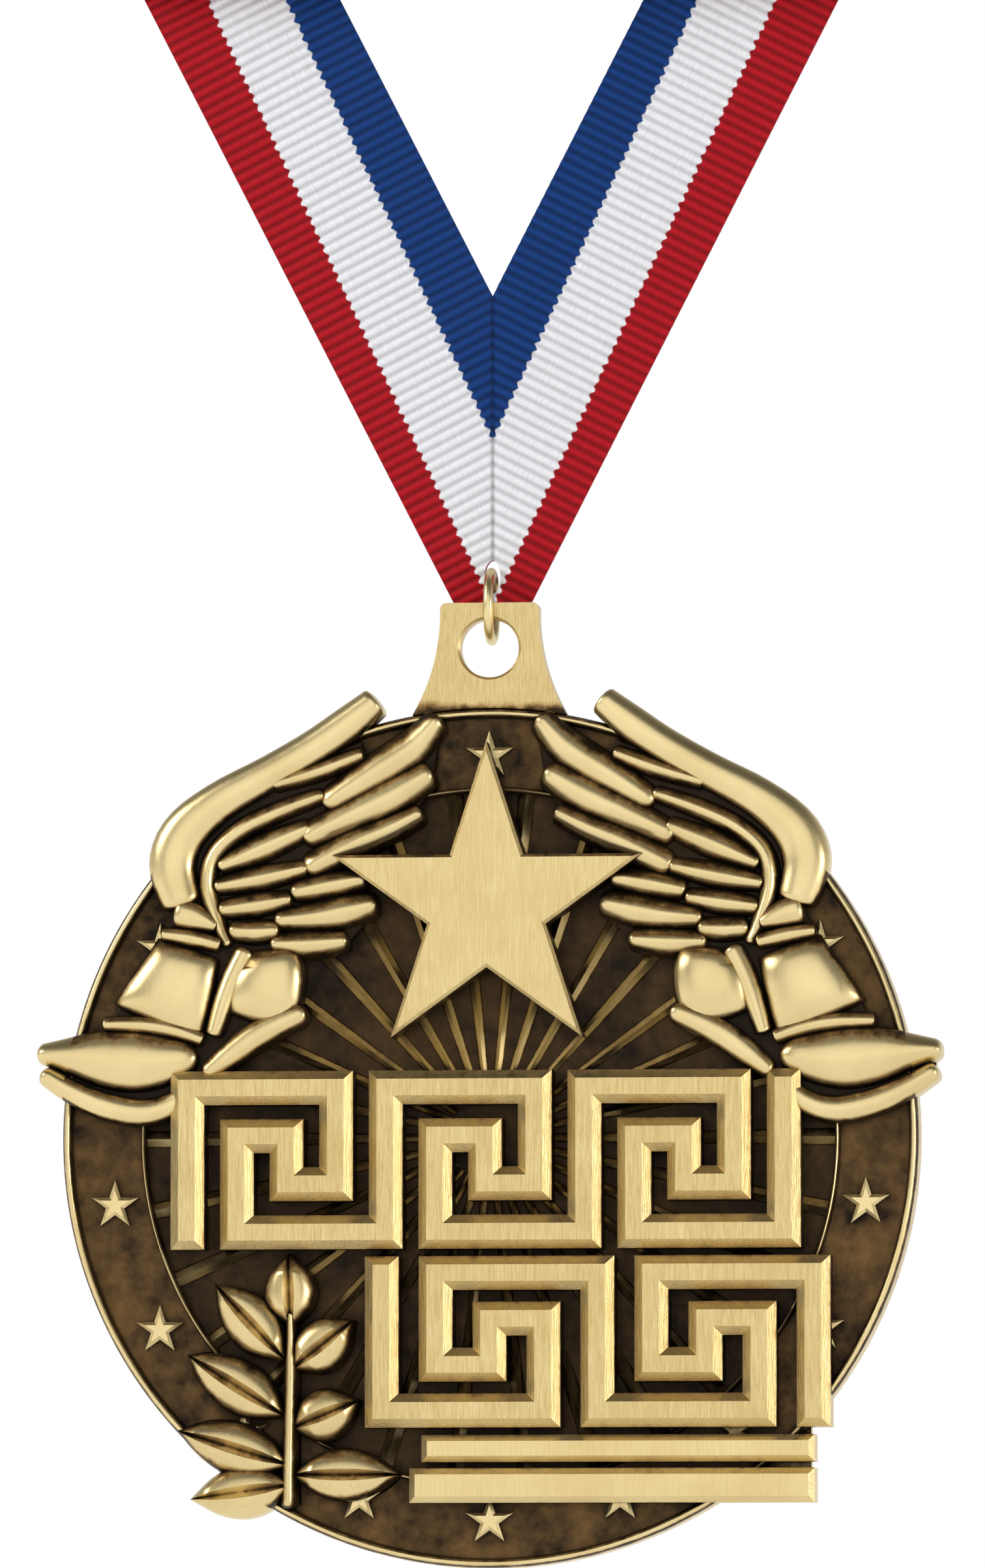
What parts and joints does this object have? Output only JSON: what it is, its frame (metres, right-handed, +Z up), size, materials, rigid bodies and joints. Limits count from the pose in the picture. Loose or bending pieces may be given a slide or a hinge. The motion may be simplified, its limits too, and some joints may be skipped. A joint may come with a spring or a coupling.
{
  "type": "award medal",
  "caption": "Round cast award medal in antique gold with winged shoes, a star and key frets in high relief, hanging by a jump ring from a striped neck ribbon wound into a bundle.",
  "frame": {"origin": "middle of the wound ribbon's underside, on the ribbon's middle plane, where a peg or a hook carries it", "axes": "+Z up along the hanging ribbon, +X to the medal's right as seen from its face, and the face looks along -Y"},
  "size_m": [0.0738, 0.0094, 0.1448],
  "materials": {
    "antique_gold": "antique gold plate, brushed on the raised faces and dark in the recesses",
    "ribbon_fabric": "ribbed grosgrain, striped red, white and blue",
    "white_thread": "polyester sewing thread"
  },
  "bodies": {
    "ribbon": {"left_ribbon_leg": "ribbon_fabric", "ribbon_bundle": "ribbon_fabric", "right_ribbon_leg": "ribbon_fabric", "seam_allowance": "ribbon_fabric", "seam_stitches": "white_thread", "waist_wrap": "ribbon_fabric"},
    "ring": {"jump_ring": "antique_gold"},
    "medal": {"base_disc": "antique_gold", "bead_ring": "antique_gold", "border_band": "antique_gold", "border_stars": "antique_gold", "centre_star": "antique_gold", "hanger_tab": "antique_gold", "laurel_sprig": "antique_gold", "left_shoe_sole": "antique_gold", "left_shoe_toe": "antique_gold", "left_shoe_trim": "antique_gold", "left_shoe_upper": "antique_gold", "left_wing_coverts": "antique_gold", "left_wing_edge": "antique_gold", "left_wing_primaries": "antique_gold", "lower_bar": "antique_gold", "lower_fret": "antique_gold", "outer_rim": "antique_gold", "right_shoe_sole": "antique_gold", "right_shoe_toe": "antique_gold", "right_shoe_trim": "antique_gold", "right_shoe_upper": "antique_gold", "right_wing_coverts": "antique_gold", "right_wing_edge": "antique_gold", "right_wing_primaries": "antique_gold", "sun_rays": "antique_gold", "upper_bar": "antique_gold", "upper_fret": "antique_gold"}
  },
  "joints": [
    {"name": "ring_swing", "type": "hinge", "parent": "ribbon", "child": "ring", "pos_m": [0, 0.00028, -0.0505], "axis": [-1, 0, 0], "range_deg": [-5, 10]},
    {"name": "medal_swing", "type": "hinge", "parent": "ring", "child": "medal", "pos_m": [0, -0.00168, -0.05205], "axis": [-1, 0, 0], "range_deg": [-20, 75]}
  ]
}
